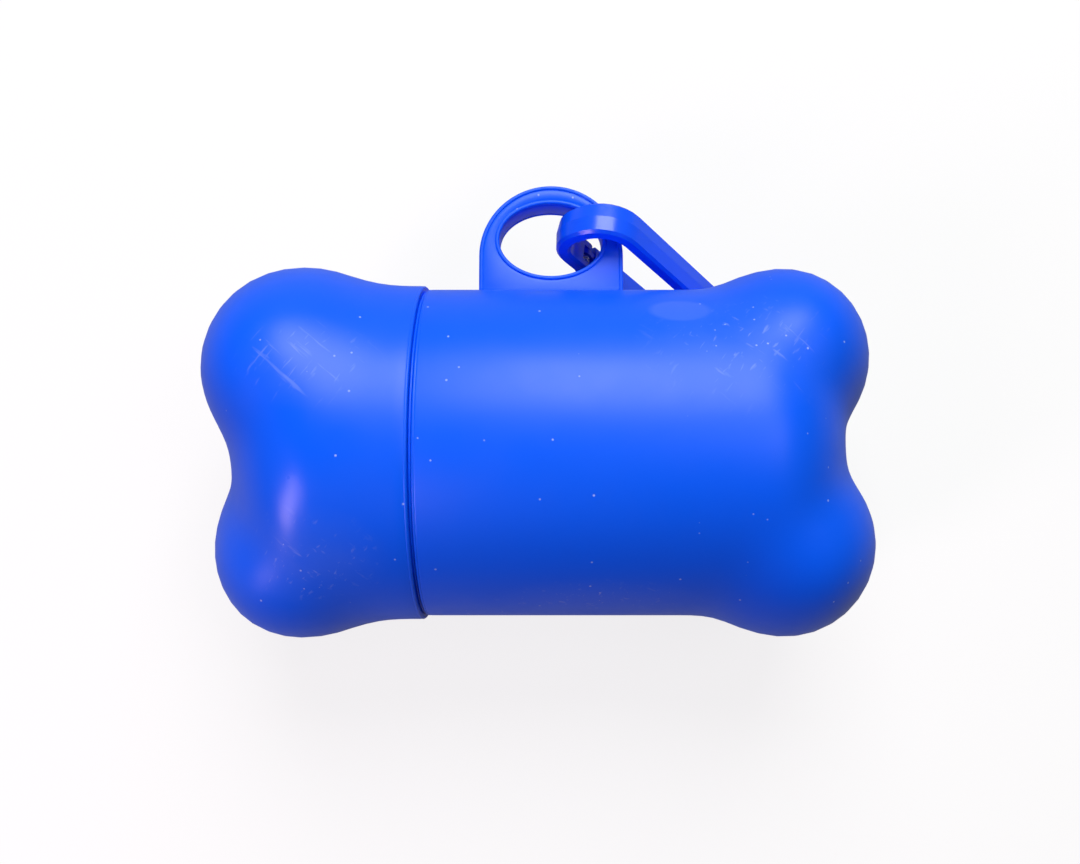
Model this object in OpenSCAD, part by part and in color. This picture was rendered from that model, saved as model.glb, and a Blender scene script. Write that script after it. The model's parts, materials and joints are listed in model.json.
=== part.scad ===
// Bone-shaped dispenser for dog waste bags, lying on its back.
// X runs along the barrel with the screw cap at -X, +Y points to the hanging tab, +Z is up.
// The origin is on the floor, under the middle of the whole.

/* [Barrel] */
// Outer radius of the straight barrel
barrel_r = 20.25; // [19.75:0.25:24]
// Radius of the bore that the roll lies in
bore_r = 16.6; // [16.4:0.1:17]
// Distance from the middle of the bone to the end of its two lobes
bone_half = 40.6; // [39:0.2:46]
// Distance from the middle of the bone to the seam between cap and barrel
seam_x = 13.7; // [12:0.1:16]
// Radius of the small edge rounding on both sides of the seam
seam_edge = 0.5; // [0.2:0.1:0.8]

/* [Bone ends] */
// Half length of a lobe along the barrel
lobe_length = 10.9; // [9.5:0.1:12]
// Half height of a lobe, across the barrel towards the tab
lobe_height = 11.6; // [10.5:0.1:12.5]
// Half depth of a lobe, from front to back
lobe_depth = 16.5; // [14:0.25:18]
// Distance of a lobe's middle from the barrel's axis
lobe_offset = 11.2; // [10:0.1:12.5]
// How far the dome between the lobes stays behind their ends
dome_setback = 3.6; // [2.5:0.1:5]
// Length over which the straight barrel rounds off into that dome
dome_length = 12.5; // [10:0.5:15]
// Reach of the soft blend where the barrel's lobes run into the straight part
barrel_blend = 4.5; // [4:0.5:9]
// Reach of the soft blend where the cap's lobes run into the straight part
cap_blend = 7; // [4:0.5:9]

/* [Cap] */
// How far the cap's rim stands proud of the barrel
cap_proud = 0.45; // [0:0.05:0.5]
// Turn of the cap against the barrel when screwed home, degrees
cap_turn = 19; // [0:1:45]
// Wall of the cap's skirt
skirt_wall = 1.4; // [1.1:0.05:1.5]
// Depth of the skirt that swallows the screw neck
skirt_depth = 9; // [8.5:0.25:11]

/* [Screw neck] */
// Clearance between the neck and the skirt, which the threads fill
thread_room = 1; // [0.8:0.05:1.1]
// Length of the neck past the seam
neck_length = 8; // [6:0.25:8.2]

/* [Hanging tab] */
// Width of the tab at the barrel
tab_w = 18.2; // [17:0.2:22]
// Height of the tab above the barrel
tab_h = 13.6; // [12:0.1:16]
// Thickness of the tab
tab_t = 4.6; // [3.6:0.2:5]
// Width of the oval eye
eye_w = 13.1; // [12:0.1:13.6]
// Height of the oval eye
eye_h = 9.3; // [8.8:0.1:9.8]
// Gap between the eye and the barrel
eye_gap = 1.9; // [1:0.05:2]
// Radius that softens the edges of the tab and its eye
tab_edge = 0.9; // [0.4:0.1:1]
// Distance of the tab's middle from the middle of the bone
tab_x = 1.4; // [-2:0.1:4]

/* [Bag slot] */
// Length of the slot along the barrel
slot_length = 26; // [20:1:28]
// Width of the slot
slot_w = 6; // [5:0.5:9]
// Distance of the slot's middle from the middle of the bone
slot_x = 2; // [0:0.5:4]

/* [Bag roll] */
// Radius of the full roll of bags
roll_r = 15.2; // [12:0.1:15.4]
// Length of the roll
roll_length = 58; // [50:0.5:60]
// Inner radius of the cardboard tube
core_bore_r = 6.6; // [5:0.1:8]
// Wall of the cardboard tube
core_wall = 0.9; // [0.6:0.1:1.5]
// Clearance round the posts that the tube turns on, and at the roll's ends
roll_gap = 0.3; // [0.2:0.05:0.5]
// Length of the post in the cap
cap_post = 6; // [4:0.5:8]
// Length of the post in the barrel's floor
floor_post = 3; // [2:0.5:5]

/* [Clip] */
// Length of the clip over all
clip_length = 32; // [29:0.5:34]
// Width of the clip over all
clip_w = 11.3; // [11:0.1:14]
// Width of the clip's flat band
band_w = 4.4; // [4.2:0.1:5]
// Thickness of the clip's band
band_t = 2.05; // [2:0.05:2.3]
// Radius of the bends beside the gate
near_bend = 4.6; // [3.6:0.1:5]
// Radius of the bends on the side away from the gate
far_bend = 5.6; // [4:0.1:6]
// Length of the gate from its pin to its nose
gate_length = 14; // [12:0.25:14.5]
// How far past the bend the gate's pin sits
gate_start = 3; // [2:0.1:3.5]
// Diameter of the gate's pin
pin_d = 0.9; // [0.8:0.05:1]
// Diameter of the spring's wire
wire_d = 0.34; // [0.3:0.02:0.36]

/* [Hidden] */
blue = "royalblue";
round_fn = 96;
fine_fn = 32;

// where the bone lies: its axis is centred across the whole and its rim rests on the floor
cap_r = barrel_r + cap_proud;
axis_y = (lobe_offset + lobe_height - barrel_r - tab_h) / 2;
axis_z = cap_r;

// the ends of the bone, in the frame of the barrel's axis
lobe_x = bone_half - lobe_length;
dome_start = bone_half - dome_setback - dome_length;
fan_back = 2;
fan_x = seam_x + fan_back;
seam_gap = 0.35;
around = 72;
skin_steps = 24;
search_steps = 16;

// the inside
skirt_r = cap_r - skirt_wall;
neck_r = skirt_r - thread_room;
neck_edge = 0.4;
floor_x = roll_length / 2 + roll_gap;
post_r = core_bore_r - roll_gap;
post_edge = 0.6;
core_r = core_bore_r + core_wall;
film_gap = 0.1;

// the tab
eye_y = barrel_r + eye_gap + eye_h / 2;
arch_y = barrel_r + tab_h - tab_w / 2;
root_y = (barrel_r + 2 * bore_r) / 3;

// where the clip hangs: the middle of the tab's rim, seen from the clip's end and mid line
rim_x = tab_x + (eye_w + tab_w) / 4;
clip_hang = 6.8;
clip_sag = 0.5;
clip_tilt = [156.8, 46.4, -25];

// the clip, in its own frame: X along it, Y across the band, Z from the plain strand to the gate
crown = 0.2;
chamfer = 0.35;
bend_steps = 8;
gate_z = clip_w / 2 - band_t / 2;
pin_x = near_bend + gate_start - clip_length / 2;
nose_x = pin_x + gate_length;
knuckle_inset = 0.05;
knuckle_r = band_t / 2 - knuckle_inset;
fork_gap = 0.1;
fork_wall = 1.15;
fork_room = 0.3;
swing_gap = 0.3;
lap = 1.4;
lap_gap = 0.15;
pin_fit = 0.02;
pin_play = 0.06;
tongue_t = band_t * 0.8;
join = 0.1;
coil_turns = 2;
coil_gap = 0.06;
coil_pitch = wire_d + coil_gap;
coil_r = pin_d / 2 + pin_play + wire_d / 2;
coil_sides = 8;
turn_steps = 14;

// distance-like fields of the bone: below zero is inside
function soft_min(a, b, soft) = min(a, b) - pow(max(soft - abs(a - b), 0) / soft, 3) * soft / 6;

function lobe_gap(p, side) =
    let (q = [p.x - lobe_x, p.y - side * lobe_offset, p.z],
        near = norm([q.x / lobe_length, q.y / lobe_height, q.z / lobe_depth]),
        steep = norm([q.x / pow(lobe_length, 2), q.y / pow(lobe_height, 2),
            q.z / pow(lobe_depth, 2)]))
    near * (near - 1) / steep;

function dome_gap(p, r) = norm([max(p.x - dome_start, 0) * r / dome_length, p.y, p.z]) - r;

function bone_gap(p, r, soft) =
    soft_min(soft_min(lobe_gap(p, 1), lobe_gap(p, -1), soft), dome_gap(p, r), soft);

// distance from a point inside to the skin, found by halving
function reach(from, dir, r, soft, low, high, steps) =
    let (mid = (low + high) / 2)
    steps == 0 ? mid
    : bone_gap(from + mid * dir, r, soft) < 0 ? reach(from, dir, r, soft, mid, high, steps - 1)
    : reach(from, dir, r, soft, low, mid, steps - 1);

function edge_ring(r, open_x, t) =
    [for (i = [0:around - 1]) let (a = i * 360 / around, q = r - seam_edge * (1 - cos(t)))
        [open_x + seam_edge * (1 - sin(t)), q * cos(a), q * sin(a)]];

function skin_ring(r, soft, polar) =
    [for (i = [0:around - 1]) let (a = i * 360 / around,
        dir = [cos(polar), sin(polar) * cos(a), sin(polar) * sin(a)], from = [fan_x, 0, 0])
        from + reach(from, dir, r, soft, r / 2, 2 * bone_half, search_steps) * dir];

// joins rings of equal length into a skin, open at both ends
function ring_faces(n, rings) =
    [for (j = [0:rings - 2], i = [0:n - 1], half = [0, 1])
        let (a = j * n + i, b = j * n + (i + 1) % n)
        half == 0 ? [a, a + n, b + n] : [a, b + n, b]];

// one closed half of the bone, its mouth at open_x and its lobes towards +X
module bone_end(r, soft, open_x) {
    rings = concat([for (t = [90:-30:0]) edge_ring(r, open_x, t)],
        [for (k = [0:skin_steps - 1]) skin_ring(r, soft, 90 * (1 - k / skin_steps))]);
    pole = reach([fan_x, 0, 0], [1, 0, 0], r, soft, r / 4, 2 * bone_half, search_steps);
    last = (len(rings) - 1) * around;
    points = concat([for (ring = rings) each ring], [[fan_x + pole, 0, 0]]);
    polyhedron(points, concat([[for (i = [0:around - 1]) i]],
        ring_faces(around, len(rings)),
        [for (i = [0:around - 1]) [last + i, last + around, last + (i + 1) % around]]),
        convexity = 6);
}

module on_axis() {
    translate([0, axis_y, axis_z]) children();
}

// a rod along +X from x, optionally with a chamfer at its far end
module rod(x, length, r, edge = 0) {
    translate([x, 0, 0]) rotate([0, 90, 0]) {
        cylinder(h = length - edge, r = r, $fn = round_fn);
        if (edge > 0)
            translate([0, 0, length - edge]) cylinder(h = edge, r1 = r, r2 = r - edge, $fn = round_fn);
    }
}

// the tab is a rounded band swept round the eye, from the eye's oval to the arch
function tab_inner(a) = [tab_x + eye_w / 2 * cos(a), eye_y + eye_h / 2 * sin(a)];

function tab_outer(a) =
    a <= 180 ? [tab_x + tab_w / 2 * cos(a), arch_y + tab_w / 2 * sin(a)]
    : let (c = cos(a), s = sin(a), k = max(abs(c), abs(s)))
        [tab_x + tab_w / 2 * c / k, arch_y + (arch_y - root_y) * s / k];

function tab_section(a) =
    let (from = tab_inner(a), span = tab_outer(a) - from, long = norm(span), dir = span / long,
        h = tab_t / 2 - tab_edge,
        flat = [for (corner = [[long - tab_edge, h, 0], [tab_edge, h, 90], [tab_edge, -h, 180],
            [long - tab_edge, -h, 270]], t = [0:30:90])
            [corner[0] + tab_edge * cos(corner[2] + t), corner[1] + tab_edge * sin(corner[2] + t)]])
    [for (q = flat) [from.x + dir.x * q[0], from.y + dir.y * q[0], q[1]]];

module tab() {
    rings = [for (i = [0:around - 1]) tab_section(i * 360 / around)];
    n = len(rings[0]);
    points = [for (ring = rings) each ring];
    polyhedron(points, [for (j = [0:around - 1], i = [0:n - 1], half = [0, 1])
        let (a = j * n + i, b = j * n + (i + 1) % n, c = ((j + 1) % around) * n + i,
            d = ((j + 1) % around) * n + (i + 1) % n)
        half == 0 ? [a, b, d] : [a, d, c]], convexity = 6);
}

module bag_slot() {
    deep = barrel_r + 1;
    for (end = [-1, 1])
        translate([slot_x + end * (slot_length - slot_w) / 2, 0, -deep])
            cylinder(h = deep, d = slot_w, $fn = fine_fn);
    translate([slot_x - (slot_length - slot_w) / 2, -slot_w / 2, -deep])
        cube([slot_length - slot_w, slot_w, deep]);
}

module barrel() {
    color(blue) on_axis() {
        difference() {
            union() {
                bone_end(barrel_r, barrel_blend, -seam_x);
                mirror([1, 0, 0]) rod(seam_x - fan_x, neck_length + fan_x, neck_r, neck_edge);
                tab();
            }
            rod(-seam_x - neck_length - 1, seam_x + neck_length + 1 + floor_x, bore_r);
            bag_slot();
        }
        mirror([1, 0, 0]) rod(-floor_x - 1, floor_post + 1, post_r, post_edge);
    }
}

module cap() {
    color(blue) on_axis() mirror([1, 0, 0]) rotate([cap_turn, 0, 0]) {
        difference() {
            bone_end(cap_r, cap_blend, seam_x + seam_gap);
            rod(seam_x, seam_gap + skirt_depth, skirt_r);
            rod(seam_x, floor_x - seam_x, bore_r);
        }
        mirror([1, 0, 0]) rod(-floor_x - 1, cap_post + 1, post_r, post_edge);
    }
}

module bag_roll() {
    color("dimgray") on_axis() difference() {
        rod(-roll_length / 2, roll_length, roll_r);
        rod(-roll_length / 2 - 1, roll_length + 2, core_r + film_gap);
    }
}

module roll_core() {
    color("burlywood") on_axis() difference() {
        rod(-roll_length / 2, roll_length, core_r);
        rod(-roll_length / 2 - 1, roll_length + 2, core_bore_r);
    }
}

module in_clip() {
    on_axis() translate([rim_x, eye_y, 0]) rotate(clip_tilt)
        translate([clip_length / 2 - clip_hang, 0, clip_sag]) children();
}

// the band's section, as depth from the outer face and place across the band
band = let (h = band_w / 2)
    [[0, 0], [crown, h - chamfer], [crown + chamfer, h], [band_t - chamfer, h],
    [band_t, h - chamfer], [band_t, chamfer - h], [band_t - chamfer, -h],
    [crown + chamfer, -h], [crown, chamfer - h]];

// a straight piece of the strand that holds the gate
module strand(x0, x1) {
    translate([x0, 0, 0]) rotate([90, 0, 90]) linear_extrude(x1 - x0)
        polygon([for (q = band) [q[1], clip_w / 2 - q[0]]]);
}

// a bar across the strand, centred on the gate's pin
module across(r, low, high) {
    translate([pin_x, high, gate_z]) rotate([90, 0, 0]) cylinder(h = high - low, r = r, $fn = fine_fn);
}

function bend(x, z, r, from) =
    [for (k = [0:bend_steps]) let (a = from - 90 * k / bend_steps) [x, z, r, a]];

// stations round the frame, each a centre, a radius and an angle
frame_path = let (x = clip_length / 2, z = clip_w / 2, n = near_bend, f = far_bend)
    concat([[nose_x + lap + swing_gap, z - n, n, 90]], bend(x - n, z - n, n, 90),
        bend(x - f, f - z, f, 0), bend(f - x, f - z, f, -90), bend(n - x, z - n, n, -180),
        [[pin_x, z - n, n, 90]]);

module frame_bow() {
    n = len(band);
    rings = [for (s = frame_path) [for (q = band)
        [s[0] + (s[2] - q[0]) * cos(s[3]), q[1], s[1] + (s[2] - q[0]) * sin(s[3])]]];
    polyhedron([for (ring = rings) each ring], concat([[for (i = [n - 1:-1:0]) i]],
        [for (f = ring_faces(n, len(rings))) [f[0], f[2], f[1]]],
        [[for (i = [0:n - 1]) (len(rings) - 1) * n + i]]), convexity = 6);
}

module clip_frame() {
    slot = band_w / 2 - fork_wall;
    color(blue) in_clip() {
        difference() {
            union() {
                frame_bow();
                across(knuckle_r, -band_w / 2 + chamfer, band_w / 2 - chamfer);
            }
            translate([pin_x - knuckle_r - fork_room, -slot, 0])
                cube([3 * knuckle_r, 2 * slot, clip_w]);
            across(pin_d / 2 + pin_fit, -band_w, band_w);
        }
        difference() {
            strand(nose_x + lap_gap, nose_x + lap + swing_gap + join);
            translate([nose_x, -band_w, gate_z - band_t])
                cube([lap + swing_gap, 2 * band_w, band_t + lap_gap / 2]);
        }
    }
}

module clip_gate() {
    half = band_w / 2 - fork_wall - fork_gap;
    inner = half - coil_turns * coil_pitch - wire_d - coil_gap;
    start = pin_x + knuckle_r + swing_gap;
    color(blue) in_clip() difference() {
        union() {
            strand(start, nose_x);
            difference() {
                strand(nose_x - join, nose_x + lap);
                translate([nose_x, -band_w, gate_z - lap_gap / 2])
                    cube([2 * lap, 2 * band_w, band_t]);
            }
            across(knuckle_r, -half, inner);
            translate([pin_x, -half, gate_z - tongue_t / 2])
                cube([start - pin_x + join, half + inner, tongue_t]);
        }
        across(pin_d / 2 + pin_play, -band_w, band_w);
    }
}

module gate_pin() {
    color("silver") in_clip() across(pin_d / 2, -band_w / 2 + chamfer, band_w / 2 - chamfer);
}

// the torsion spring: a leg on the gate, turns round the pin and a leg in the frame's fork
coil_end = band_w / 2 - fork_wall - fork_gap - wire_d / 2;
coil_start = coil_end - coil_turns * coil_pitch;
leg = knuckle_r + swing_gap - coil_gap;
wire_path = concat([[leg, coil_start, coil_r]],
    [for (k = [0:coil_turns * turn_steps]) let (a = 90 + 360 * k / turn_steps)
        [coil_r * cos(a), coil_start + k / turn_steps * coil_pitch, coil_r * sin(a)]],
    [[-knuckle_r, coil_end, coil_r]]);

module gate_spring() {
    n = len(wire_path);
    rings = [for (j = [0:n - 1])
        let (run = wire_path[min(j + 1, n - 1)] - wire_path[max(j - 1, 0)],
            flat = [run[2], 0, -run[0]] / norm([run[2], 0, -run[0]]))
        [for (i = [0:coil_sides - 1]) let (a = i * 360 / coil_sides)
            wire_path[j] + wire_d / 2 * (cos(a) * flat + sin(a) * [0, 1, 0])]];
    color("silver") in_clip() translate([pin_x, 0, gate_z])
        polyhedron([for (ring = rings) each ring],
            concat([[for (i = [0:coil_sides - 1]) i]], ring_faces(coil_sides, n),
            [[for (i = [coil_sides - 1:-1:0]) (n - 1) * coil_sides + i]]), convexity = 6);
}

barrel();
cap();
clip_frame();
clip_gate();
gate_pin();
gate_spring();
bag_roll();
roll_core();
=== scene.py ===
"""Looks for a bone-shaped dispenser of dog waste bags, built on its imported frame.

The bone lies on its back: +X runs along the barrel, away from the screw cap, +Y points to
the hanging tab and +Z is up. All lengths in the scene are metres.
"""

import json
import math

import bpy
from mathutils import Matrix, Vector


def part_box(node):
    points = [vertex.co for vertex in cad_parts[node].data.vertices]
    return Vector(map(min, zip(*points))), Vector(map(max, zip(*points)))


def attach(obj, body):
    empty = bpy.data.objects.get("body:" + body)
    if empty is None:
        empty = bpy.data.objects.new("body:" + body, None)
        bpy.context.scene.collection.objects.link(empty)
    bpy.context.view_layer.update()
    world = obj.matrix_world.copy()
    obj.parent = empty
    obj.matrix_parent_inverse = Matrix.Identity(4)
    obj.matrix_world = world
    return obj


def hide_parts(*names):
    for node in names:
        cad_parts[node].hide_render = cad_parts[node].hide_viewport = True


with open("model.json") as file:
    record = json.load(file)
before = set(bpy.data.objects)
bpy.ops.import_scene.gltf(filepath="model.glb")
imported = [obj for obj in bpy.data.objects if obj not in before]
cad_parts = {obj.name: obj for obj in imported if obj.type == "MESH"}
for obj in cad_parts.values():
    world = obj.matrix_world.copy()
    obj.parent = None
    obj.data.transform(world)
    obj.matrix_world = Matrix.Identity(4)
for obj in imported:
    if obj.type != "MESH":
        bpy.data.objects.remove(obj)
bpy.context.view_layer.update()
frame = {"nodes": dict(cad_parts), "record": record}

bl_info = {
    "name": "Bone Bag Dispenser",
    "version": (1, 0, 0),
    "blender": (4, 5, 0),
    "location": "View3D > Sidebar > Bone Dispenser",
    "description": "Dresses the bone-shaped waste bag dispenser and sets its studio",
    "category": "Object",
}


# ---------------------------------------------------------------- places from the frame

def named(rows, name):
    """The row of the record that has that name."""
    return next(row for row in rows if row["name"] == name)


MM = 0.001
BARREL_LOW, BARREL_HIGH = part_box("barrel")
CAP_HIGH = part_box("cap")[1]
CORE_LOW, CORE_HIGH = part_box("roll_core")
ROLL_LOW, ROLL_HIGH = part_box("bag_roll")
AXIS = (CORE_LOW + CORE_HIGH) / 2
EYE = Vector(named(frame["record"]["mounts"], "tab_eye")["pos_m"])
GATE_HINGE = named(frame["record"]["behaviour"]["joints"], "gate_open")

# the cap's rim just touches the floor, so its radius is the height of the axis
CAP_RADIUS = AXIS.z


# ---------------------------------------------------------------- fineness

# places closer than this count as the same
NEAR = 0.01 * MM
# corners closer than the first are merged, and edges shorter than the second dissolved
MERGE = 0.002 * MM
SHORTEST = 0.001 * MM
# faces that turn less than this from each other become one
FLAT = math.radians(0.5)

# edges sharper than these stay creased where a piece is shaded smooth
THREAD_CREASE = math.radians(30)
BEAD_CREASE = math.radians(60)
BAND_CREASE = math.radians(25)
WIRE_CREASE = math.radians(50)
ROLL_CREASE = math.radians(40)
# edges of the roll sharper than this are bevelled
ROLL_BEVEL = math.radians(50)

# sides of the round pieces, and steps in one turn of the thread
SEAM_SIDES = 144
TAB_SIDES = 96
ROLL_SIDES = 128
RIDGE_STEPS = 72
# a bead has four sides and twice this many more
BEAD_ROUNDING = 3
# steps across the roll's bevel
ROLL_ROUNDING = 3


# ---------------------------------------------------------------- sizes and colours

class BoneShellSettings(bpy.types.PropertyGroup):
    """Sizes and colours of the two moulded halves of the bone."""

    colour: bpy.props.StringProperty(
        name="Shell colour", description="Colour of the polypropylene, sRGB hex",
        default="#005CF6")
    # also the colour of the painted sheen, a pale haze over the worn places
    wear_and_sheen_colour: bpy.props.StringProperty(
        name="Worn colour", description="Colour of its scratches, specks and scuffs, sRGB hex",
        default="#8FA8F5")
    edge_angle: bpy.props.FloatProperty(
        name="Crease angle", description="Edges sharper than this stay creased",
        default=math.radians(32), subtype="ANGLE")
    cap_proud: bpy.props.FloatProperty(
        name="Cap proud", description="How far the cap's rim stands proud of the barrel",
        default=0.45 * MM, unit="LENGTH")
    seam_gap: bpy.props.FloatProperty(
        name="Seam gap", description="From the cap's rim to the barrel's edge",
        default=0.35 * MM, unit="LENGTH")
    lip: bpy.props.FloatProperty(
        name="Lip width", description="Across the fine lip on either side of the seam",
        default=0.44 * MM, unit="LENGTH")
    step_inset: bpy.props.FloatProperty(
        name="Step inset", description="How far the step in the seam lies inside the barrel's skin",
        default=0.22 * MM, unit="LENGTH")


class BoneThreadSettings(bpy.types.PropertyGroup):
    """The right-hand screw thread between barrel and cap."""

    pitch: bpy.props.FloatProperty(
        name="Pitch", description="Advance in one turn", default=5 * MM, unit="LENGTH")
    neck_turns: bpy.props.FloatProperty(
        name="Neck turns", description="Turns of the ridge on the neck",
        default=1.25, min=0.5, max=1.4)
    skirt_turns: bpy.props.FloatProperty(
        name="Skirt turns", description="Turns of the ridge in the skirt",
        default=1.1, min=0.5, max=1.2)
    skirt_wall: bpy.props.FloatProperty(
        name="Skirt wall", description="Wall of the cap's skirt", default=1.4 * MM, unit="LENGTH")
    room: bpy.props.FloatProperty(
        name="Thread room", description="Between neck and skirt", default=1 * MM, unit="LENGTH")
    height: bpy.props.FloatProperty(
        name="Ridge height", description="How far a ridge stands off its wall",
        default=0.75 * MM, unit="LENGTH")
    foot: bpy.props.FloatProperty(
        name="Ridge width", description="Across a ridge at its foot",
        default=1.8 * MM, unit="LENGTH")
    start: bpy.props.FloatProperty(
        name="Thread start", description="From the neck's edge to where its ridge starts",
        default=7.2 * MM, unit="LENGTH")


class BoneTabSettings(bpy.types.PropertyGroup):
    """The hanging tab and the beads on its edges."""

    width: bpy.props.FloatProperty(
        name="Tab width", description="Across the tab", default=18.2 * MM, unit="LENGTH")
    thickness: bpy.props.FloatProperty(
        name="Tab thickness", description="Through the tab", default=4.6 * MM, unit="LENGTH")
    eye_width: bpy.props.FloatProperty(
        name="Eye width", description="Long way across the eye",
        default=13.1 * MM, unit="LENGTH")
    eye_height: bpy.props.FloatProperty(
        name="Eye height", description="Short way across the eye",
        default=9.3 * MM, unit="LENGTH")
    root: bpy.props.FloatProperty(
        name="Root", description="How deep the beads run into the barrel",
        default=0.525 * MM, unit="LENGTH")
    bead: bpy.props.FloatProperty(
        name="Bead width", description="Across one bead", default=0.6 * MM, unit="LENGTH")
    proud: bpy.props.FloatProperty(
        name="Bead height", description="How far a bead stands above the tab's face",
        default=0.08 * MM, unit="LENGTH")


class BoneClipSettings(bpy.types.PropertyGroup):
    """Colours of the spring clip."""

    colour: bpy.props.StringProperty(
        name="Clip colour", description="Colour of the acetal, sRGB hex", default="#0A55F5")
    steel_colour: bpy.props.StringProperty(
        name="Steel colour", description="Colour of pin and spring, sRGB hex", default="#C9CACC")


class BoneRollSettings(bpy.types.PropertyGroup):
    """The wound bags on their cardboard tube."""

    film_colour: bpy.props.StringProperty(
        name="Film colour", description="Colour of the bags, sRGB hex", default="#22242A")
    board_colour: bpy.props.StringProperty(
        name="Board colour", description="Colour of the cardboard tube, sRGB hex",
        default="#A88D66")
    slack: bpy.props.FloatProperty(
        name="Slack", description="How far the film stays inside its CAD roll",
        default=0.1 * MM, unit="LENGTH")
    rim: bpy.props.FloatProperty(
        name="Rim", description="Width of the outermost and innermost ring on each end",
        default=0.5 * MM, unit="LENGTH")
    recess_width: bpy.props.FloatProperty(
        name="Recess width", description="Across the slope down to the tube",
        default=0.4 * MM, unit="LENGTH")
    recess_depth: bpy.props.FloatProperty(
        name="Recess depth", description="How far the film lies back round the tube",
        default=0.2 * MM, unit="LENGTH")
    rounding: bpy.props.FloatProperty(
        name="Rounding", description="Bevel on the roll's edges",
        default=0.3 * MM, unit="LENGTH")


class BoneStageSettings(bpy.types.PropertyGroup):
    """The camera's place over the bone."""

    lens: bpy.props.FloatProperty(
        name="Lens", description="Focal length on a 36 mm sensor, in mm", default=32.77)
    distance: bpy.props.FloatProperty(
        name="Distance", description="From the lens to the barrel's axis",
        default=124 * MM, unit="LENGTH")
    tilt: bpy.props.FloatProperty(
        name="Tilt", description="Lean of the view away from straight down",
        default=math.radians(6), subtype="ANGLE")
    drop: bpy.props.FloatProperty(
        name="Drop", description="How far the barrel's axis lies below the picture's middle",
        default=2.52 * MM, unit="LENGTH")


SETTINGS = {
    "bone_shell": BoneShellSettings,
    "bone_thread": BoneThreadSettings,
    "bone_tab": BoneTabSettings,
    "bone_clip": BoneClipSettings,
    "bone_roll": BoneRollSettings,
    "bone_stage": BoneStageSettings,
}


# ---------------------------------------------------------------- small helpers

def linear(hex_colour):
    """sRGB hex to the linear RGBA that shaders take."""
    parts = [int(hex_colour[i:i + 2], 16) / 255 for i in (1, 3, 5)]
    lit = [c / 12.92 if c <= 0.04045 else ((c + 0.055) / 1.055) ** 2.4 for c in parts]
    return tuple(lit) + (1.0,)


def deselect():
    """Leaves any other mode and selects nothing."""
    if bpy.context.object and bpy.context.object.mode != "OBJECT":
        bpy.ops.object.mode_set(mode="OBJECT")
    bpy.ops.object.select_all(action="DESELECT")


def take(obj):
    """Makes obj the only selected object, and the active one."""
    deselect()
    obj.select_set(True)
    bpy.context.view_layer.objects.active = obj
    return obj


def edit(obj, action="SELECT", kind="VERT"):
    """Opens obj in edit mode, with all or none of its vertices or faces selected."""
    take(obj)
    bpy.ops.object.mode_set(mode="EDIT")
    bpy.ops.mesh.select_mode(type=kind)
    bpy.ops.mesh.select_all(action=action)


def edit_where(obj, kind, test):
    """Opens obj in edit mode, with only those vertices or faces selected that pass the test."""
    edit(obj, "DESELECT", kind)
    bpy.ops.object.mode_set(mode="OBJECT")
    for item in obj.data.polygons if kind == "FACE" else obj.data.vertices:
        item.select = test(item)
    bpy.ops.object.mode_set(mode="EDIT")


def leave_edit():
    """Closes edit mode."""
    bpy.ops.object.mode_set(mode="OBJECT")


def merged_copy(node, name):
    """A copy of a CAD node with its loose triangles merged into one skin."""
    take(frame["nodes"][node])
    bpy.ops.object.duplicate(linked=False)
    obj = bpy.context.object
    obj.parent = None
    for key in list(obj.keys()):
        del obj[key]
    obj.name = name
    obj.data.name = name
    obj.data.materials.clear()
    bpy.ops.mesh.customdata_custom_splitnormals_clear()
    edit(obj)
    bpy.ops.mesh.remove_doubles(threshold=MERGE)
    bpy.ops.mesh.dissolve_degenerate(threshold=SHORTEST)
    leave_edit()
    return obj


def crease(obj, angle):
    """Shades obj smooth, with the edges sharper than that angle left as they are."""
    take(obj)
    bpy.ops.object.shade_smooth_by_angle(angle=angle)
    return obj


def apply_modifier(obj, kind, **settings):
    """Runs one modifier with these settings and applies it."""
    take(obj)
    modifier = obj.modifiers.new(kind.title(), kind)
    for key, value in settings.items():
        setattr(modifier, key, value)
    bpy.ops.object.modifier_apply(modifier=modifier.name)


def settle(obj, name, body, slot, *nodes):
    """Applies the object's place, names it, gives it its slot's material, ties it to its body and
    hides the CAD nodes it stands for.
    """
    take(obj)
    if not obj.data.polygons:
        raise RuntimeError(name + " has no faces")
    bpy.ops.object.transform_apply(location=True, rotation=True, scale=True)
    obj.name = name
    obj.data.name = name
    obj.data.materials.clear()
    obj.data.materials.append(finish(slot))
    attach(obj, body)
    if nodes:
        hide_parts(*nodes)


def dress(node, name, body, slot, angle):
    """Puts a smooth-shaded copy of a CAD node in its place."""
    settle(crease(merged_copy(node, name), angle), name, body, slot, node)


# ---------------------------------------------------------------- shader nodes

def add_node(tree, kind, settings=None, links=None):
    """Adds a node; settings go to its sockets or fields, links maps its sockets to outputs."""
    node = tree.nodes.new(kind)
    for key, value in (settings or {}).items():
        if isinstance(key, int) or key in node.inputs:
            node.inputs[key].default_value = value
        else:
            setattr(node, key, value)
    for key, output in (links or {}).items():
        tree.links.new(output, node.inputs[key])
    return node


def maths(tree, operation, *values):
    """One math operation on outputs and bare numbers."""
    numbers, outputs = {"operation": operation}, {}
    for index, value in enumerate(values):
        (numbers if isinstance(value, (int, float)) else outputs)[index] = value
    return add_node(tree, "ShaderNodeMath", numbers, outputs).outputs[0]


def combined(tree, operation, first, *others):
    """The outputs drawn together by one math operation, two at a time."""
    for other in others:
        first = maths(tree, operation, first, other)
    return first


def ranged(tree, value, start, end, low=0.0, high=1.0):
    """The value's run from start to end drawn to low to high, and held beyond both."""
    return add_node(tree, "ShaderNodeMapRange",
                    {"From Min": start, "From Max": end, "To Min": low, "To Max": high},
                    {"Value": value}).outputs[0]


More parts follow.
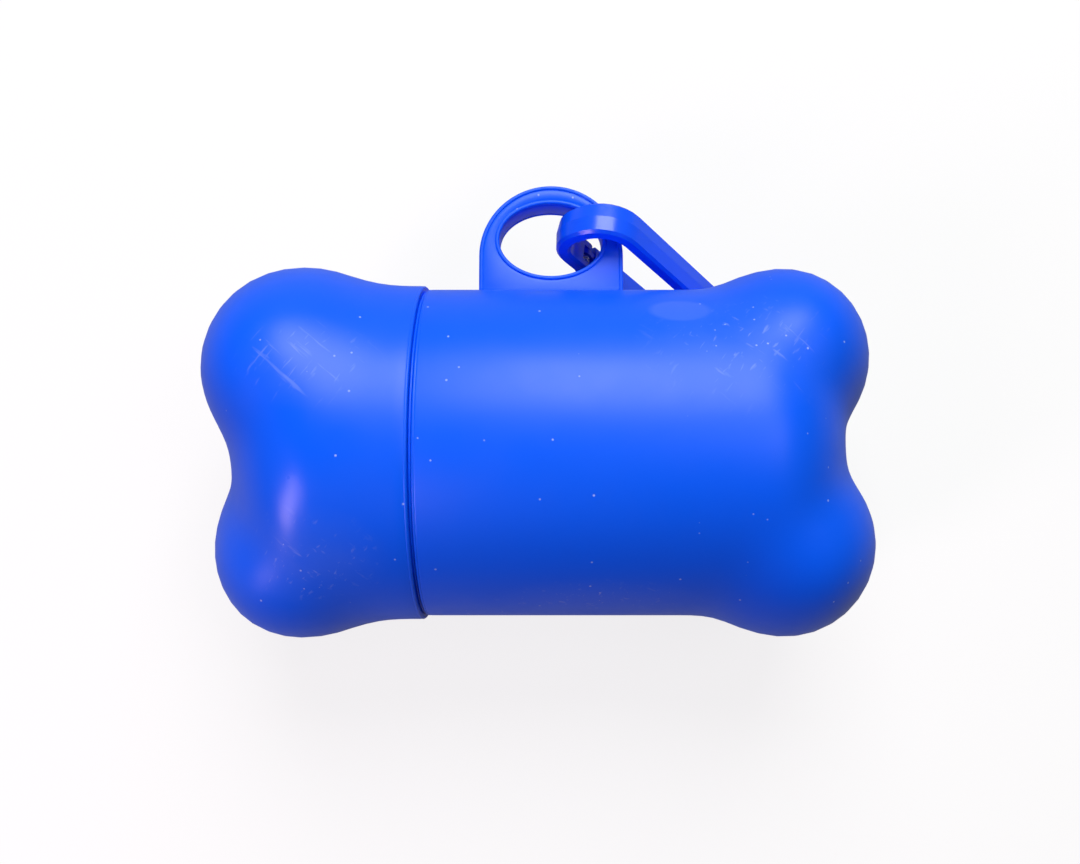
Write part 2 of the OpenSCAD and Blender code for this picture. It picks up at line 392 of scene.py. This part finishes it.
def noise(tree, place, scale, **settings):
    """Noise with about that many features to the metre."""
    return add_node(tree, "ShaderNodeTexNoise", {"Scale": scale, **settings},
                    {"Vector": place}).outputs["Fac"]


def bumped(tree, height, strength, distance):
    """The surface's normal with that height on it."""
    return add_node(tree, "ShaderNodeBump", {"Strength": strength, "Distance": distance},
                    {"Height": height}).outputs["Normal"]


def new_material(name):
    """An empty node material, its tree and the object's coordinates in it."""
    material = bpy.data.materials.new(name)
    material.use_nodes = True
    tree = material.node_tree
    tree.nodes.clear()
    return material, tree, add_node(tree, "ShaderNodeTexCoord").outputs["Object"]


def surfaced(material, kind, settings, links):
    """Ends a material in a shader of that kind."""
    tree = material.node_tree
    shader = add_node(tree, kind, settings, links)
    add_node(tree, "ShaderNodeOutputMaterial", {}, {"Surface": shader.outputs[0]})
    return material


# ---------------------------------------------------------------- materials

# centre and reach, in mm, of the places that pockets and pavements have worn, where the painted
# sheen lies too
WORN_PLACES = (
    ((22, 5, 38), (12, 9, 8)),
    ((-25, 3, 41), (9, 6, 6)),
    ((-25, -19, 37), (9, 7, 8)),
    ((6.5, -23, 30), (13, 4, 5)),
)
# a paler oval patch on the shoulder above the barrel
PALE_OVAL = ((16.0, 9.6, 34.2), (3.9, 2.1, 3.6))
# the end of the cap, polished where fingers grip it
GRIPPED_END = ((-28, -12, 39), (12, 14, 10))
# two families of scratches: their turn round Z and their noise's scale
SCRATCHES = ((0.95, 2000.0), (2.4, 1500.0))
# how far each kind of wear, the pale oval and the painted sheen over the worn places draw the
# colour towards the paler colour
SCRATCH_TINT = 0.42
PAINTED_SHEEN_TINT = 0.13
PALE_OVAL_TINT = 0.11
# how much rougher worn skin is, how much smoother the gripped end is, and how deep a
# scratch is against the grain
WORN_ROUGHNESS = 0.25
GRIPPED_POLISH = 0.09
SCRATCH_DEPTH = 0.8


def worn_place(tree, place, centre, reach):
    """1 in the middle of a place, falling to 0 at its reach; centre and reach are in mm."""
    off = add_node(tree, "ShaderNodeVectorMath",
                   {"operation": "SUBTRACT", 1: [c * MM for c in centre]}, {0: place})
    part = add_node(tree, "ShaderNodeVectorMath",
                    {"operation": "DIVIDE", 1: [r * MM for r in reach]}, {0: off.outputs[0]})
    far = add_node(tree, "ShaderNodeVectorMath", {"operation": "LENGTH"}, {0: part.outputs[0]})
    return ranged(tree, far.outputs["Value"], 1.0, 0.25)


def scratched(tree, place, worn):
    """Fine streaks, nine times as long as they are wide, where the shell is worn."""
    families = []
    for turn, scale in SCRATCHES:
        along = add_node(tree, "ShaderNodeMapping",
                         {"vector_type": "TEXTURE", "Rotation": (0.0, 0.0, turn),
                          "Scale": (9.0, 1.0, 1.5)}, {"Vector": place})
        streaks = noise(tree, along.outputs[0], scale, Detail=2.0, Distortion=0.2)
        families.append(ranged(tree, streaks, 0.62, 0.74))
    return combined(tree, "MULTIPLY", combined(tree, "MAXIMUM", *families), worn)


def specked(tree, place, worn):
    """Dust and nicks: round specks up to 0.3 mm across, more of them where the shell is worn."""
    cells = add_node(tree, "ShaderNodeTexVoronoi", {"Scale": 700.0}, {"Vector": place})
    dots = ranged(tree, cells.outputs["Distance"], 0.11, 0.06)
    chance = add_node(tree, "ShaderNodeSeparateColor", {}, {"Color": cells.outputs["Color"]})
    bar = ranged(tree, worn, 0.0, 1.0, 0.86, 0.4)
    some = maths(tree, "GREATER_THAN", chance.outputs["Red"], bar)
    return maths(tree, "MULTIPLY", dots, some)


def moulded_polypropylene(name, colour):
    """Satin injection-moulded polypropylene: a fine spark-eroded grain softens its gloss,
    and pocket wear leaves pale scratches, scuffs and specks on what stands proud. A pale
    haze over the worn places is painted sheen, standing in for highlights."""
    material, tree, place = new_material(name)
    # spark-eroded grain, 0.25 mm
    grain = noise(tree, place, 4000.0, Detail=3.0, Roughness=0.6)
    # slow clouding of the gloss where hands have polished it, about 8 mm; it also mottles the
    # painted sheen
    cloud = noise(tree, place, 130.0, Detail=4.0, Roughness=0.65)
    # places of pocket wear; the painted sheen is laid over them too
    worn = combined(tree, "MAXIMUM", *[worn_place(tree, place, *spot) for spot in WORN_PLACES])
    lines = scratched(tree, place, worn)
    dots = specked(tree, place, worn)
    # a paler oval patch, drawn towards the paler colour
    pale_oval = ranged(tree, worn_place(tree, place, *PALE_OVAL), 0.0, 0.3, 0.0, PALE_OVAL_TINT)
    # painted sheen: a pale haze in the colour over the worn places, mottled by the clouding,
    # standing in for highlights
    painted_sheen = maths(tree, "MULTIPLY", maths(tree, "MULTIPLY", worn, cloud), PAINTED_SHEEN_TINT)
    strokes = maths(tree, "MULTIPLY", lines, SCRATCH_TINT)
    # the pale of real wear, of the oval and of the painted sheen together
    pale = combined(tree, "MAXIMUM", dots, strokes, pale_oval, painted_sheen)
    wear_and_sheen_colour = bpy.context.scene.bone_shell.wear_and_sheen_colour
    tint = add_node(tree, "ShaderNodeMix",
                    {"data_type": "RGBA", 6: linear(colour), 7: linear(wear_and_sheen_colour)}, {0: pale})
    gloss = ranged(tree, cloud, 0.3, 0.7, 0.35, 0.43)
    gripped = worn_place(tree, place, *GRIPPED_END)
    polished = maths(tree, "MULTIPLY_ADD", gripped, -GRIPPED_POLISH, gloss)
    rough = maths(tree, "MULTIPLY_ADD", pale, WORN_ROUGHNESS, polished)
    relief = maths(tree, "MULTIPLY_ADD", lines, -SCRATCH_DEPTH, grain)
    return surfaced(material, "ShaderNodeBsdfPrincipled", {"IOR": 1.49, "Specular IOR Level": 0.32},
                    {"Base Color": tint.outputs[2], "Roughness": rough,
                     "Normal": bumped(tree, relief, 0.06, 0.02 * MM)})


def moulded_acetal(name, colour):
    """Glossy moulded acetal, smooth and a little waxy."""
    material, tree, place = new_material(name)
    wave = noise(tree, place, 300.0, Detail=2.0)
    return surfaced(material, "ShaderNodeBsdfPrincipled",
                    {"IOR": 1.48, "Base Color": linear(colour)},
                    {"Roughness": ranged(tree, wave, 0.0, 1.0, 0.18, 0.3),
                     "Normal": bumped(tree, wave, 0.04, 0.1 * MM)})


def drawn_steel(name, colour):
    """Bright drawn stainless wire."""
    material, tree, place = new_material(name)
    lines = noise(tree, place, 6000.0, Detail=2.0)
    return surfaced(material, "ShaderNodeBsdfPrincipled",
                    {"Metallic": 1.0, "Base Color": linear(colour)},
                    {"Roughness": ranged(tree, lines, 0.0, 1.0, 0.2, 0.34)})


# from one layer of film to the next: coarser than real film, so that the layers show
LAYER = 0.3 * MM


def wound_film(name, colour):
    """Thin polyethylene film wound tight: slippery round the roll, ringed at its ends."""
    material, tree, place = new_material(name)
    centred = add_node(tree, "ShaderNodeVectorMath", {"operation": "SUBTRACT", 1: AXIS},
                       {0: place})
    parts = add_node(tree, "ShaderNodeSeparateXYZ", {}, {0: centred.outputs[0]}).outputs
    flat = add_node(tree, "ShaderNodeCombineXYZ", {}, {"Y": parts["Y"], "Z": parts["Z"]})
    radius = add_node(tree, "ShaderNodeVectorMath", {"operation": "LENGTH"}, {0: flat.outputs[0]})
    turn = maths(tree, "ARCTAN2", parts["Z"], parts["Y"])
    layer = maths(tree, "MULTIPLY", radius.outputs["Value"], 2 * math.pi / LAYER)
    rings = maths(tree, "SINE", maths(tree, "ADD", layer, turn))
    crumple = noise(tree, place, 260.0, Detail=4.0)
    height = maths(tree, "MULTIPLY_ADD", rings, 0.35, crumple)
    return surfaced(material, "ShaderNodeBsdfPrincipled",
                    {"IOR": 1.51, "Roughness": 0.34, "Base Color": linear(colour)},
                    {"Normal": bumped(tree, height, 0.6, 0.12 * MM)})


def wound_board(name, colour):
    """Spiral-wound grey-brown cardboard with paper fibre."""
    material, tree, place = new_material(name)
    fibre = noise(tree, place, 1500.0, Detail=5.0, Roughness=0.7)
    tinted = add_node(tree, "ShaderNodeVectorMath",
                      {"operation": "SCALE", 0: linear(colour)[:3]},
                      {"Scale": ranged(tree, fibre, 0.0, 1.0, 0.75, 1.15)})
    return surfaced(material, "ShaderNodeBsdfPrincipled", {"Roughness": 0.85},
                    {"Base Color": tinted.outputs[0],
                     "Normal": bumped(tree, fibre, 0.3, 0.05 * MM)})


def finish(slot):
    """The material of that slot, named as the function that makes it, and made once."""
    scene = bpy.context.scene
    maker, colour = {
        "shell": (moulded_polypropylene, scene.bone_shell.colour),
        "clip": (moulded_acetal, scene.bone_clip.colour),
        "steel": (drawn_steel, scene.bone_clip.steel_colour),
        "film": (wound_film, scene.bone_roll.film_colour),
        "board": (wound_board, scene.bone_roll.board_colour),
    }[slot]
    return bpy.data.materials.get(maker.__name__) or maker(maker.__name__, colour)


# ---------------------------------------------------------------- pieces

class BONE_OT_shells(bpy.types.Operator):
    """Skins the barrel and the cap in satin polypropylene"""

    bl_idname = "bone.shells"
    bl_label = "Barrel and Cap"

    def execute(self, context):
        for node in ("barrel", "cap"):
            dress(node, node + "_shell", node, "shell", context.scene.bone_shell.edge_angle)
        return {"FINISHED"}


# how deep a ridge's foot sits in its wall, and the share of its width left at the crest
RIDGE_SINK = 0.2 * MM
CREST_SHARE = 0.35


def thread_ridge(size, wall, crest, start, turns):
    """A ridge of trapezoid section from wall to crest, wound round the axis along -X."""
    foot = size.foot / 2
    top = foot * CREST_SHARE
    base = wall - math.copysign(RIDGE_SINK, crest - wall)
    section = ((start + foot, base), (start - foot, base), (start + top, crest),
               (start - top, crest))
    deselect()
    bpy.ops.mesh.primitive_plane_add(size=1, location=(0, 0, 0))
    obj = bpy.context.object
    for vertex, (x, radius) in zip(obj.data.vertices, section):
        vertex.co = (x, radius, 0)
    edit(obj)
    bpy.ops.mesh.delete(type="ONLY_FACE")
    leave_edit()
    steps = int(RIDGE_STEPS * turns)
    apply_modifier(obj, "SCREW", axis="X", angle=turns * 2 * math.pi,
                   screw_offset=-turns * size.pitch, steps=steps, render_steps=steps,
                   use_merge_vertices=False, use_normal_calculate=True)
    # a face closes each of the two open ends
    edit(obj, "DESELECT")
    bpy.ops.mesh.select_non_manifold()
    bpy.ops.mesh.edge_face_add()
    bpy.ops.mesh.select_all(action="SELECT")
    bpy.ops.mesh.normals_make_consistent(inside=False)
    leave_edit()
    obj.location = AXIS
    return crease(obj, THREAD_CREASE)


class BONE_OT_threads(bpy.types.Operator):
    """Winds the right-hand thread ridges on the neck and inside the skirt"""

    bl_idname = "bone.threads"
    bl_label = "Screw Threads"

    def execute(self, context):
        size = context.scene.bone_thread
        skirt = CAP_RADIUS - size.skirt_wall
        neck = skirt - size.room
        start = BARREL_LOW.x + size.start
        neck_ridge = thread_ridge(size, neck, neck + size.height, start, size.neck_turns)
        settle(neck_ridge, "neck_thread", "barrel", "shell")
        skirt_ridge = thread_ridge(size, skirt, skirt - size.height, start - size.pitch / 2,
                                   size.skirt_turns)
        settle(skirt_ridge, "cap_thread", "cap", "shell")
        return {"FINISHED"}


def bead(outline, depth):
    """A round moulded bead along an open or closed outline of edges."""
    take(outline)
    bpy.ops.object.transform_apply(location=False, rotation=True, scale=True)
    bpy.ops.object.convert(target="CURVE")
    curve = bpy.context.object.data
    curve.dimensions = "3D"
    curve.bevel_depth = depth
    curve.bevel_resolution = BEAD_ROUNDING
    curve.use_fill_caps = True
    bpy.ops.object.convert(target="MESH")
    edit(bpy.context.object)
    bpy.ops.mesh.remove_doubles(threshold=MERGE)
    bpy.ops.mesh.normals_make_consistent(inside=False)
    leave_edit()
    return crease(bpy.context.object, BEAD_CREASE)


class BONE_OT_seam_lips(bpy.types.Operator):
    """Sharpens both edges of the seam with a fine moulded lip, and its bottom with a step"""

    bl_idname = "bone.seam_lips"
    bl_label = "Seam Lips"

    def execute(self, context):
        size = context.scene.bone_shell
        barrel_radius = CAP_RADIUS - size.cap_proud
        barrel_end = CAP_HIGH.x + size.seam_gap
        lip = size.lip / 2
        step = size.seam_gap / 2 - NEAR
        # the step is the narrow shoulder that shows at the bottom of the seam
        for name, body, radius, x, half in (
                ("barrel_lip", "barrel", barrel_radius, barrel_end + lip, lip),
                ("cap_lip", "cap", CAP_RADIUS, CAP_HIGH.x - lip, lip),
                ("barrel_step", "barrel", barrel_radius - size.step_inset, barrel_end - step,
                 step)):
            deselect()
            bpy.ops.mesh.primitive_circle_add(vertices=SEAM_SIDES, radius=radius - half,
                                              location=(x, AXIS.y, AXIS.z),
                                              rotation=(0, math.pi / 2, 0))
            settle(bead(bpy.context.object, half), name, body, "shell")
        return {"FINISHED"}


def eye_ring(tab, depth, height):
    """The oval outline along the middle of the bead round the eye."""
    deselect()
    bpy.ops.mesh.primitive_circle_add(vertices=TAB_SIDES, radius=1,
                                      location=(EYE.x, EYE.y, height))
    ring = bpy.context.object
    bpy.ops.transform.resize(value=(tab.eye_width / 2 + depth, tab.eye_height / 2 + depth, 1))
    return ring


def tab_arch(tab, depth, height, root):
    """The outline along the middle of the tab's outer bead: half a circle and two legs."""
    middle = BARREL_HIGH.y - tab.width / 2
    deselect()
    bpy.ops.mesh.primitive_circle_add(vertices=TAB_SIDES, radius=tab.width / 2 - depth,
                                      location=(EYE.x, middle, height))
    arch = bpy.context.object
    edit_where(arch, "VERT", lambda vertex: vertex.co.y < -NEAR)
    bpy.ops.mesh.delete(type="VERT")
    edit_where(arch, "VERT", lambda vertex: abs(vertex.co.y) < NEAR)
    bpy.ops.mesh.extrude_vertices_move(TRANSFORM_OT_translate={"value": (0, root - middle, 0)})
    leave_edit()
    return arch


class BONE_OT_tab_beads(bpy.types.Operator):
    """Runs a fine bead round the tab's eye and along its outer edge, on both faces"""

    bl_idname = "bone.tab_beads"
    bl_label = "Tab Beads"

    def execute(self, context):
        tab = context.scene.bone_tab
        depth = tab.bead / 2
        root = AXIS.y + CAP_RADIUS - context.scene.bone_shell.cap_proud - tab.root
        for side, face in (("front", 1), ("back", -1)):
            height = AXIS.z + face * (tab.thickness / 2 - depth + tab.proud)
            settle(bead(eye_ring(tab, depth, height), depth), "eye_bead_" + side, "barrel",
                   "shell")
            settle(bead(tab_arch(tab, depth, height, root), depth), "tab_bead_" + side, "barrel",
                   "shell")
        return {"FINISHED"}


class BONE_OT_clip(bpy.types.Operator):
    """Smooths the clip's frame and gate, and dresses its pin and spring"""

    bl_idname = "bone.clip"
    bl_label = "Spring Clip"

    def execute(self, context):
        pin = Vector(GATE_HINGE["pos_m"])
        across = Vector(GATE_HINGE["axis"]).normalized()
        for node, body in (("clip_frame", "clip"), ("clip_gate", "gate")):
            piece = merged_copy(node, node + "_moulding")
            edit(piece)
            bpy.ops.mesh.dissolve_limited(angle_limit=FLAT)
            leave_edit()
            crease(piece, BAND_CREASE)
            # the low ridge along the middle of the band stays sharp
            edit_where(piece, "VERT",
                       lambda vertex: abs((vertex.co - pin).dot(across)) < NEAR)
            bpy.ops.mesh.mark_sharp()
            leave_edit()
            settle(piece, node + "_moulding", body, "clip", node)
        dress("gate_pin", "gate_pin_wire", "clip", "steel", WIRE_CREASE)
        dress("gate_spring", "gate_spring_wire", "gate", "steel", WIRE_CREASE)
        return {"FINISHED"}


class BONE_OT_roll(bpy.types.Operator):
    """Winds the roll of bags on its cardboard tube"""

    bl_idname = "bone.roll"
    bl_label = "Bag Roll"

    def execute(self, context):
        size = context.scene.bone_roll
        radius = (ROLL_HIGH.y - ROLL_LOW.y) / 2 - size.slack
        core = (CORE_HIGH.y - CORE_LOW.y) / 2
        deselect()
        bpy.ops.mesh.primitive_cylinder_add(vertices=ROLL_SIDES, radius=radius,
                                            depth=ROLL_HIGH.x - ROLL_LOW.x,
                                            end_fill_type="NGON", location=AXIS,
                                            rotation=(0, math.pi / 2, 0))
        film = bpy.context.object
        bpy.ops.object.transform_apply(location=False, rotation=True, scale=True)
        # rings on both ends, down to the bore, which is then opened from end to end
        edit_where(film, "FACE", lambda face: abs(face.normal.x) > 0.9)
        bpy.ops.mesh.inset(thickness=size.rim, depth=0)
        bpy.ops.mesh.inset(thickness=radius - core - 2 * size.rim, depth=0)
        bpy.ops.mesh.inset(thickness=size.recess_width, depth=-size.recess_depth)
        bpy.ops.mesh.bridge_edge_loops()
        leave_edit()
        apply_modifier(film, "BEVEL", width=size.rounding, segments=ROLL_ROUNDING,
                       limit_method="ANGLE", angle_limit=ROLL_BEVEL)
        settle(crease(film, ROLL_CREASE), "bag_film", "bag_roll", "film", "bag_roll")
        dress("roll_core", "core_board", "roll_core", "board", ROLL_CREASE)
        return {"FINISHED"}


# ---------------------------------------------------------------- studio

# the paper floor lies just under the bone, and the wall's foot just under the floor
FLOOR_SIZE = 3.0
FLOOR_DROP = 0.05 * MM
WALL_RADIUS = 1.4
WALL_HEIGHT = 1.2
WALL_SINK = 1 * MM
WALL_SIDES = 96
# share of the paper's own glow, of 1, that the camera sees and that reflections see
CAMERA_GLOW = 0.8
MIRRORED_GLOW = 0.2
# how pale the paper is, of 1, for the camera and for all other light
CAMERA_PALENESS = 0.9
OTHER_PALENESS = 0.2
# how bright the room is round the sweep, and the width of the camera's sensor in mm
WORLD_STRENGTH = 0.06
SENSOR = 36

# name, place, width and height in metres, power in watts and colour; all point at the bone
LAMPS = (
    ("key_softbox", (0.03, 0.36, 0.42), 0.38, 0.34, 3.3, (1.0, 1.0, 1.0)),
    ("fill_softbox", (0.20, 0.04, 0.42), 0.16, 0.16, 0.3, (1.0, 1.0, 1.0)),
    ("window_glow", (-0.22, -0.16, 0.19), 0.07, 0.19, 0.5, (1.0, 0.66, 0.86)),
)
LAMPS_AIM = Vector((0, 0, 0.02))


def matte_paper_sweep(name):
    """Paper that glows for the camera and, less, in reflections, and sheds no other light."""
    material, tree, _ = new_material(name)
    paths = add_node(tree, "ShaderNodeLightPath").outputs
    mirrored = maths(tree, "MAXIMUM", paths["Is Glossy Ray"], paths["Is Transmission Ray"])
    # the camera sees paper that is nearly white and still takes the object's shadow
    direct = maths(tree, "MULTIPLY", paths["Is Camera Ray"], CAMERA_GLOW)
    amount = maths(tree, "MULTIPLY_ADD", mirrored, MIRRORED_GLOW, direct)
    # the paper is pale for the camera alone, so little light comes back on the object
    bounce = ranged(tree, paths["Is Camera Ray"], 0.0, 1.0, OTHER_PALENESS, CAMERA_PALENESS)
    paper = add_node(tree, "ShaderNodeBsdfDiffuse", {}, {"Color": bounce})
    glow = add_node(tree, "ShaderNodeEmission", {"Color": (1, 1, 1, 1), "Strength": 1.0})
    return surfaced(material, "ShaderNodeMixShader", {},
                    {0: amount, 1: paper.outputs[0], 2: glow.outputs[0]})


def set_sweep():
    """A round studio: a floor and a wall of the same paper."""
    material = matte_paper_sweep("matte_paper_sweep")
    deselect()
    bpy.ops.mesh.primitive_plane_add(size=FLOOR_SIZE, location=(0, 0, -FLOOR_DROP))
    bpy.context.object.name = "pale_floor"
    bpy.ops.mesh.primitive_cylinder_add(vertices=WALL_SIDES, radius=WALL_RADIUS,
                                        depth=WALL_HEIGHT, end_fill_type="NOTHING",
                                        location=(0, 0, WALL_HEIGHT / 2 - WALL_SINK))
    bpy.context.object.name = "pale_wall"
    for name in ("pale_floor", "pale_wall"):
        paper = take(bpy.data.objects[name])
        bpy.ops.object.transform_apply(location=True)
        paper.data.materials.append(material)


def set_world():
    """A dim even light from all round."""
    world = bpy.data.worlds.new("dim_studio")
    bpy.context.scene.world = world
    world.use_nodes = True
    background = world.node_tree.nodes["Background"]
    background.inputs["Color"].default_value = (1, 1, 1, 1)
    background.inputs["Strength"].default_value = WORLD_STRENGTH


def set_lamps():
    """Soft rectangular lamps, as the table above lists them."""
    for name, place, width, height, power, tint in LAMPS:
        data = bpy.data.lights.new(name, "AREA")
        data.shape = "RECTANGLE"
        data.size = width
        data.size_y = height
        data.energy = power
        data.color = tint
        lamp = bpy.data.objects.new(name, data)
        bpy.context.scene.collection.objects.link(lamp)
        lamp.location = place
        lamp.rotation_euler = (LAMPS_AIM - Vector(place)).to_track_quat("-Z", "Y").to_euler()


def set_camera(stage):
    """A camera almost straight above the bone, as the photograph was taken."""
    data = bpy.data.cameras.new("catalogue_camera")
    data.sensor_width = SENSOR
    data.sensor_fit = "HORIZONTAL"
    data.lens = stage.lens
    data.clip_start = 0.01
    data.clip_end = 10
    camera = bpy.data.objects.new("catalogue_camera", data)
    bpy.context.scene.collection.objects.link(camera)
    view = Vector((0, math.sin(stage.tilt), -math.cos(stage.tilt)))
    up = Vector((0, math.cos(stage.tilt), math.sin(stage.tilt)))
    camera.location = AXIS - view * stage.distance + up * stage.drop
    camera.rotation_euler = (stage.tilt, 0, 0)
    bpy.context.scene.camera = camera


class BONE_OT_stage(bpy.types.Operator):
    """Sets the floor, the studio lights and the camera"""

    bl_idname = "bone.stage"
    bl_label = "Studio"

    def execute(self, context):
        set_sweep()
        set_world()
        set_lamps()
        set_camera(context.scene.bone_stage)
        context.scene.view_settings.view_transform = "Standard"
        return {"FINISHED"}


# ---------------------------------------------------------------- add-on

PIECES = (BONE_OT_stage, BONE_OT_shells, BONE_OT_seam_lips, BONE_OT_threads, BONE_OT_tab_beads,
          BONE_OT_clip, BONE_OT_roll)


class BONE_PT_panel(bpy.types.Panel):
    """Lists the settings, and the pieces in the order they are made"""

    bl_idname = "BONE_PT_panel"
    bl_label = "Bone Dispenser"
    bl_space_type = "VIEW_3D"
    bl_region_type = "UI"
    bl_category = "Bone Dispenser"

    def draw(self, context):
        for name, group in SETTINGS.items():
            box = self.layout.box()
            for key in group.__annotations__:
                box.prop(getattr(context.scene, name), key)
        for operator in PIECES:
            self.layout.operator(operator.bl_idname)


CLASSES = tuple(SETTINGS.values()) + PIECES + (BONE_PT_panel,)


def register():
    for cls in CLASSES:
        bpy.utils.register_class(cls)
    for name, group in SETTINGS.items():
        setattr(bpy.types.Scene, name, bpy.props.PointerProperty(type=group))


def unregister():
    for name in SETTINGS:
        delattr(bpy.types.Scene, name)
    for cls in reversed(CLASSES):
        bpy.utils.unregister_class(cls)


def main():
    register()
    bpy.ops.bone.stage()
    bpy.ops.bone.shells()
    bpy.ops.bone.seam_lips()
    bpy.ops.bone.threads()
    bpy.ops.bone.tab_beads()
    bpy.ops.bone.clip()
    bpy.ops.bone.roll()


if __name__ == "__main__":
    main()
